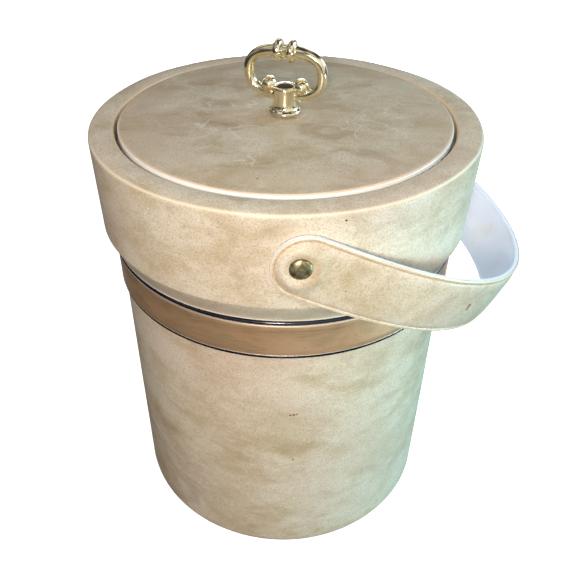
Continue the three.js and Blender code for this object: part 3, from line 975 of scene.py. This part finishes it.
shell_low, shell_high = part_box("lid_shell")
lid_r = shell_high.x
plug_low = shell_low.z
LID_WALL = 1.4 * MM
LID_WALL_RISE = 0.45 * MM
lid_seat = rim_z + 0.3 * MM
plug_r = WELL_R - 1 * MM
wall_top = shell_high.z + LID_WALL_RISE
PLUG_ROUND = 3 * MM
PANEL_R = 62 * MM
PANEL_LIFT = 1.2 * MM
panel_z = plug_low + PANEL_LIFT
shell_outline = [
    (0, panel_z),
    (PANEL_R - 6 * MM, panel_z),
    *arc(PANEL_R, panel_z, PANEL_LIFT, 250, 290, 4),
    *arc(plug_r - PLUG_ROUND, plug_low + PLUG_ROUND, PLUG_ROUND, -90, 0, 8),
    (plug_r, lid_seat - 1 * MM),
    *arc(plug_r + 1 * MM, lid_seat - 1 * MM, 1 * MM, 180, 90, 4),
    *arc(lid_r - 0.7 * MM, lid_seat + 0.7 * MM, 0.7 * MM, -90, 0, 4),
    *level(3, (lid_r, lid_seat + 1 * MM), (lid_r, wall_top - LID_WALL / 2)),
    *arc(lid_r - LID_WALL / 2, wall_top - LID_WALL / 2, LID_WALL / 2, 0, 180, 10),
    (lid_r - LID_WALL, lid_seat + LID_WALL + 0.8 * MM),
    (lid_r - LID_WALL - 0.8 * MM, lid_seat + LID_WALL),
    (plug_r - LID_WALL, lid_seat + LID_WALL),
    (plug_r - LID_WALL, plug_low + LID_WALL + 2.0 * MM),
    (plug_r - LID_WALL - 1.0 * MM, plug_low + LID_WALL + 1.0 * MM),
    (0, panel_z + LID_WALL),
]
lid_plastic = white_plastic("lid_plastic", rgb(244, 243, 240))
shell = turned("lid_moulding", shell_outline, lid_plastic, body="lid", around=300)
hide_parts("lid_shell")


# ---- Lid: padding and vinyl top -----------------------------------------------------------
# A foam disc lies on the board under a stretched vinyl top. The knob's screw pulls its middle
# down, and the vinyl is rolled under at the edge.

pad_box_low, pad_box_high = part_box("lid_pad")
_, top_box_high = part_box("lid_vinyl_top")
lid_pad_r = pad_box_high.x
lid_pad_low = pad_box_low.z
CROWN_ROOM = 0.9 * MM
lid_pad_edge = pad_box_high.z - CROWN_ROOM
pad_face = lid_pad_edge - 0.1 * MM
PAD_EDGE = 0.9 * MM
PAD_RINGS = 30
PAD_AROUND = 120
KNOB_FOOT_R = 8.3 * MM
CLOTH_STEPS = 20


def padding_disc():
    """A closed disc of foam, flat, with rounded edges and rings of points for it to swell on."""
    flat = lid_pad_r - PAD_EDGE
    low = [(flat * i / PAD_RINGS, lid_pad_low) for i in range(PAD_RINGS)]
    side = arc(flat, lid_pad_low + PAD_EDGE, PAD_EDGE, -90, 0, 4)
    side += arc(flat, lid_pad_edge - PAD_EDGE, PAD_EDGE, 0, 90, 4)
    high = [(flat * i / PAD_RINGS, lid_pad_edge) for i in range(PAD_RINGS - 1, -1, -1)]
    return turned("lid_foam_disc", low + side + high, foam, body="lid", around=PAD_AROUND)


def swollen(piece, pinned, cap):
    """Lets the padding swell under light pressure, then keeps each point within cap of its start."""
    start = np.array([v.co[:] for v in piece.data.vertices])
    held = piece.vertex_groups.new(name="held")
    held.add([i for i, p in enumerate(start) if pinned(p)], 1.0, "REPLACE")
    cloth = piece.modifiers.new("swelling", "CLOTH")
    made = cloth.settings
    made.quality = 6
    made.mass = 0.15
    made.tension_stiffness = 60
    made.compression_stiffness = 60
    made.bending_stiffness = 4
    made.use_pressure = True
    made.uniform_pressure_force = 4
    made.vertex_group_mass = "held"
    made.effector_weights.gravity = 0
    cloth.collision_settings.use_collision = False
    scene = bpy.context.scene
    for step in range(1, CLOTH_STEPS + 1):
        scene.frame_set(step)
    ready = bpy.context.evaluated_depsgraph_get()
    grown = np.array([v.co[:] for v in piece.evaluated_get(ready).data.vertices])
    move = grown - start
    length = np.linalg.norm(move, axis=1, keepdims=True)
    move = move * np.tanh(length / cap) * cap / np.maximum(length, 1e-9)
    piece.modifiers.clear()
    piece.vertex_groups.clear()
    scene.frame_set(1)
    return start, start + move


lid_padding = padding_disc()
start, shaped = swollen(
    lid_padding,
    lambda p: p[2] < pad_face or math.hypot(p[0], p[1]) < KNOB_FOOT_R,
    0.95 * MM,
)
lid_padding.data.vertices.foreach_set("co", shaped.ravel())
lid_padding.data.update()
on_top = start[:, 2] > pad_face
top_reach = np.hypot(start[on_top, 0], start[on_top, 1])
order = np.argsort(top_reach)
swell_r = top_reach[order]
swell_z = shaped[on_top, 2][order]
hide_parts("lid_pad")

top_r = top_box_high.x
top_edge_z = top_box_high.z - CROWN_ROOM
ABOVE_PAD = 1.05 * MM
TOP_SHEET = 0.6 * MM
TOP_ROLL = 0.55 * MM
HOLE_FOR_SCREW = 2.1 * MM


def top_height(r):
    """The vinyl's upper face follows the padding below it."""
    return float(np.interp(r, swell_r, swell_z)) + ABOVE_PAD


def hand_stretched(angle, r, z):
    """The pull of the fingers that stretched the sheet over its edge."""
    if r < 20 * MM:
        return 0, 0
    share = (r / top_r) ** 3
    pull = 0.05 * MM * math.sin(17 * angle) + 0.07 * MM * math.sin(5 * angle + 1.3)
    return pull * share * 0.6, pull * share


roll_centre = top_r - TOP_ROLL
roll_z = top_edge_z - TOP_ROLL + 0.05 * MM
upper_r = roll_centre - 2.5 * MM
upper_face = [upper_r - (upper_r - HOLE_FOR_SCREW) * i / 60 for i in range(61)]
top_outline = [
    (HOLE_FOR_SCREW, top_height(0) - TOP_SHEET),
    *[(r, top_height(r) - TOP_SHEET) for r in upper_face[::-6][1:]],
    (roll_centre - 1.2 * MM, roll_z - TOP_ROLL + 0.1 * MM),
    *arc(roll_centre, roll_z, TOP_ROLL, -90, 80, 8),
    (roll_centre - 0.8 * MM, roll_z + TOP_ROLL + 0.02 * MM),
    (roll_centre - 1.6 * MM, roll_z + TOP_ROLL + 0.08 * MM),
    *[(r, max(top_height(r), roll_z + TOP_ROLL + 0.1 * MM)) for r in upper_face],
]
lid_vinyl = vinyl_cloth(
    "lid_vinyl",
    lean=(1, 1.5, 1.5),
    shade=0.93,
    depth=1.5,
    edge_tones_and_painted_light=[
        (top_r - 2 * MM, top_edge_z, 26 * MM, 0.30, rgb(186, 158, 120)),
        # Painted highlight on the rolled edge.
        (top_r - 0.1 * MM, top_edge_z, 1.0 * MM, 0.7, PEACH_HIGHLIGHT),
    ],
    marks=[
        (-0.0390, 0.0120, 0.2425, 0.0010, rgb(246, 244, 238)),
        (-0.0165, -0.0710, 0.2422, 0.0007, rgb(70, 58, 44)),
    ],
)
lid_top = turned(
    "lid_top_vinyl", top_outline, lid_vinyl, body="lid", around=300, shift=hand_stretched, sharp=50
)
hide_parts("lid_vinyl_top")


# ---- Knob ---------------------------------------------------------------------------------
# One pale-gold plated casting: a waisted post with an upright oval ring, two rounded collars
# on top of the ring and a ball each side where it joins the post. A screw holds it from below.

knob_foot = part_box("knob_post")[0].z
RING_HALF_WIDTH = 19 * MM
RING_HALF_HEIGHT = 11.3 * MM
RING_UP = 19.9 * MM
RING_POWER = 2.6
RING_SECTION = 2.65 * MM
RING_THICKER = 0.6 * MM
RING_GAP_HALF = 3.2 * MM
RING_COLLAR_R = 5.8 * MM
RING_COLLAR_HALF = 2.05 * MM
RING_COLLAR_OFFSET = 3.3 * MM
BALL_R = 4.0 * MM
BALL_OFFSET = 8.5 * MM
BALL_UP = 13.8 * MM
KNOB_TURN = math.radians(-21.5)
# The post's outline as radius and height in millimetres, from its foot to its dished top.
POST_PROFILE = [
    (0, 0), (7.6, 0), (8.1, 0.2), (8.4, 0.7), (8.4, 1.3), (8.0, 1.9), (7.2, 2.5), (6.6, 3.4),
    (6.3, 4.6), (6.1, 6.2), (6.0, 8.5), (6.05, 10.8), (6.25, 12.4), (6.15, 13.2), (5.6, 13.7),
    (4.6, 13.8), (3.8, 13.5), (0, 13.4),
]


def swept(casting, path, radii_along, sides=28):
    """A closed round bar along a path in the ring's own plane, each point with its radius."""
    rings = []
    for i, (p, radius) in enumerate(zip(path, radii_along)):
        ahead = path[min(i + 1, len(path) - 1)] - path[max(i - 1, 0)]
        along = ahead.normalized()
        across = Vector((0, 1, 0))
        third = along.cross(across)
        rings.append([
            casting.verts.new(p + (across * math.cos(a) + third * math.sin(a)) * radius)
            for a in circle(sides)
        ])
    for low, high in zip(rings, rings[1:]):
        for k in range(sides):
            casting.faces.new([low[k], low[(k + 1) % sides], high[(k + 1) % sides], high[k]])
    casting.faces.new(rings[0])
    casting.faces.new(rings[-1][::-1])


def ball(casting, centre, radius):
    bmesh.ops.create_icosphere(casting, subdivisions=4, radius=radius, matrix=Matrix.Translation(centre))


def rolled(casting, centre, tilt):
    """One of the ring's rounded collars: a fat hoop round the bar."""
    place = Matrix.Translation(centre) @ Matrix.Rotation(tilt, 4, "Y")
    hoop_r = RING_COLLAR_R - RING_COLLAR_HALF
    around, sides = 48, 20
    rings = []
    for a in circle(around):
        rings.append([])
        for b in circle(sides):
            r = hoop_r + RING_COLLAR_HALF * math.cos(b)
            spot = Vector((RING_COLLAR_HALF * math.sin(b), r * math.cos(a), r * math.sin(a)))
            rings[-1].append(casting.verts.new(place @ spot))
    for i in range(around):
        here, ahead = rings[i], rings[(i + 1) % around]
        for k in range(sides):
            casting.faces.new([here[k], here[(k + 1) % sides], ahead[(k + 1) % sides], ahead[k]])


def knob_casting():
    """Post, ring, collars and balls, run together into one smooth casting."""
    casting = bmesh.new()
    edges = 64
    rows = []
    for r, z in POST_PROFILE:
        angles = circle(edges) if r > 0 else [0]
        rows.append([
            casting.verts.new((r * MM * math.cos(a), r * MM * math.sin(a), z * MM)) for a in angles
        ])
    for low, high in zip(rows, rows[1:]):
        for k in range(edges):
            j = k + 1
            corners = [
                low[k % len(low)], low[j % len(low)], high[j % len(high)], high[k % len(high)]
            ]
            casting.faces.new(list(dict.fromkeys(corners)))

    start = -math.acos((RING_GAP_HALF / RING_HALF_WIDTH) ** (RING_POWER / 2))
    sweep = math.pi - 2 * start
    steps = 240
    path, thickness = [], []
    for i in range(steps + 1):
        a = start + sweep * i / steps
        x, z = (abs(v) ** (2 / RING_POWER) * (1 if v > 0 else -1) for v in (math.cos(a), math.sin(a)))
        path.append(Vector((RING_HALF_WIDTH * x, 0, RING_UP + RING_HALF_HEIGHT * z)))
        thickness.append(RING_SECTION + RING_THICKER * max(0, z) ** 4)
    swept(casting, path, thickness)

    share = RING_COLLAR_OFFSET / RING_HALF_WIDTH
    collar_up = RING_UP + RING_HALF_HEIGHT * (1 - share ** RING_POWER) ** (1 / RING_POWER)
    for way in (-1, 1):
        tilt = way * 0.6 * math.atan2(RING_HALF_HEIGHT * share, RING_HALF_WIDTH)
        rolled(casting, Vector((way * RING_COLLAR_OFFSET, 0, collar_up)), tilt)
        ball(casting, Vector((way * BALL_OFFSET, 0, BALL_UP)), BALL_R)
    bmesh.ops.recalc_face_normals(casting, faces=casting.faces)
    casting.transform(Matrix.Translation((0, 0, knob_foot)) @ Matrix.Rotation(KNOB_TURN, 4, "Z"))
    mesh = bpy.data.meshes.new("plated_knob")
    casting.to_mesh(mesh)
    casting.free()
    knob = put("plated_knob", mesh)
    remesh = knob.modifiers.new("one_casting", "REMESH")
    remesh.mode = "VOXEL"
    remesh.voxel_size = 0.22 * MM
    ease = knob.modifiers.new("fillets", "SMOOTH")
    ease.factor = 0.5
    ease.iterations = 8
    baked(knob)
    knob.data.shade_smooth()
    return knob


def gold_plate():
    """Pale gold plate, worn whiter in places."""
    material, sockets, place = finish("gold_plate", Metallic=1.0, Roughness=0.1)
    wear = place.noise(160, 4, 0.6, 0.5)
    scuffs = place.stretched(1, 1, 0.4).noise(1400, 3, 0.6)
    stops = ((0.3, rgb(226, 206, 156)), (0.55, rgb(240, 228, 192)), (0.75, rgb(240, 235, 216)))
    feed(
        sockets,
        Base_Color=wear.ramp(*stops),
        Roughness=0.05 + scuffs * 0.1 + wear * 0.05,
        Normal=wear.bump(0.12 * MM, 0.35, scuffs.bump(0.006 * MM, 0.5)),
    )
    return material


knob = knob_casting()
knob.data.materials.clear()
knob.data.materials.append(gold_plate())
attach(knob, "lid")
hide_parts("knob_post", "knob_ring")
paint(steel, "knob_washer", "knob_screw")


# ---- Floor, light and camera --------------------------------------------------------------
# A pale seamless floor. A soft warm key and a small lamp shine from near the camera, a low
# window and the sky send cool light from the right, and a far lamp fills the back.

def pale_floor():
    """White seamless paper, lit a little from behind."""
    material, sockets, place = finish("pale_floor", Roughness=0.7, Emission_Strength=0.8)
    shade = place.noise(3, 3, 0.5)
    paper = shade.ramp((0.3, rgb(246, 246, 246)), (0.7, rgb(250, 250, 250)))
    feed(sockets, Base_Color=paper, Emission_Color=paper)
    return material


FLOOR_HALF = 4.0
floor = put("floor", bpy.data.meshes.new("floor"))
floor_corners = [(x * FLOOR_HALF, y * FLOOR_HALF, 0) for x, y in ((-1, -1), (1, -1), (1, 1), (-1, 1))]
floor.data.from_pydata(floor_corners, [], [(0, 1, 2, 3)])
floor.data.materials.append(pale_floor())
floor.visible_diffuse = False
floor.visible_glossy = False

scene = bpy.context.scene
world = bpy.data.worlds.new("studio")
scene.world = world
world.use_nodes = True
room = world.node_tree
way = Wire(room, room.nodes.new("ShaderNodeTexCoord").outputs["Generated"])
light_path = room.nodes.new("ShaderNodeLightPath")
shiny = Wire(room, light_path.outputs["Is Glossy Ray"])
seen = Wire(room, light_path.outputs["Is Camera Ray"])
# Dim walls light the bucket, brighter windows show only in its gloss, and the camera sees white.
dim = (0.145 + 0.25 * way.part("Z")).clamp()
walls = way.stretched(1.0, 1.0, 0.7).noise(2.3, 2, 0.4).between(0.44, 0.56)
windows = 0.05 + walls * (0.55 + 0.55 * way.part("X") + 0.35 * way.part("Z")).clamp() * 1.3
grey = windows * shiny + dim * (1.0 - shiny)
tone = grey.tint((0, 0, 0), (1, 0.995, 1))
room.links.new(seen.tint(tone, (1, 1, 1)).socket, room.nodes["Background"].inputs["Color"])


def soft_light(name, place, target, size, watts, colour):
    """A round light of a size in metres, turned to its target and unseen by the camera."""
    light = bpy.data.lights.new(name, "AREA")
    light.shape = "DISK"
    light.size = size
    light.energy = watts
    light.color = colour
    lamp = put(name, light)
    lamp.visible_camera = False
    lamp.location = place
    lamp.rotation_euler = (Vector(target) - Vector(place)).to_track_quat("-Z", "Y").to_euler()


centre = (0, 0, 0.16)
soft_light("warm_key", (-0.08, -0.58, 0.43), centre, 0.12, 2.65, (1.0, 0.94, 0.89))
soft_light("lamp", (-0.036, -0.335, 0.385), centre, 0.012, 0.18, (1.0, 0.98, 0.94))
soft_light("cool_window", (0.47, -0.24, 0.08), (0.3, -0.16, 0.01), 0.14, 1.8, (0.36, 0.82, 0.98))
soft_light("cool_sky", (0.55, 0.10, 0.50), (0, 0, 0.22), 0.25, 1.5, (0.44, 0.82, 1.0))
soft_light("back_fill", (0.10, 1.10, 0.11), (0, 0, 0.11), 0.2, 10.0, (0.94, 0.96, 1.0))

camera = put("camera", bpy.data.cameras.new("camera"))
camera.data.lens = 41.92
camera.data.sensor_width = 36
camera.data.shift_x = 0.0414
camera.location = (-0.02335, -0.33162, 0.37972)
turn = Quaternion((0, 0, 1), math.radians(-2.24))
pitch = Quaternion((1, 0, 0), math.radians(90 - 37.13))
roll = Quaternion((0, 0, 1), math.radians(-0.417))
camera.rotation_mode = "QUATERNION"
camera.rotation_quaternion = turn @ pitch @ roll
camera.data.clip_start = 0.01
scene.camera = camera
scene.view_settings.view_transform = "Standard"
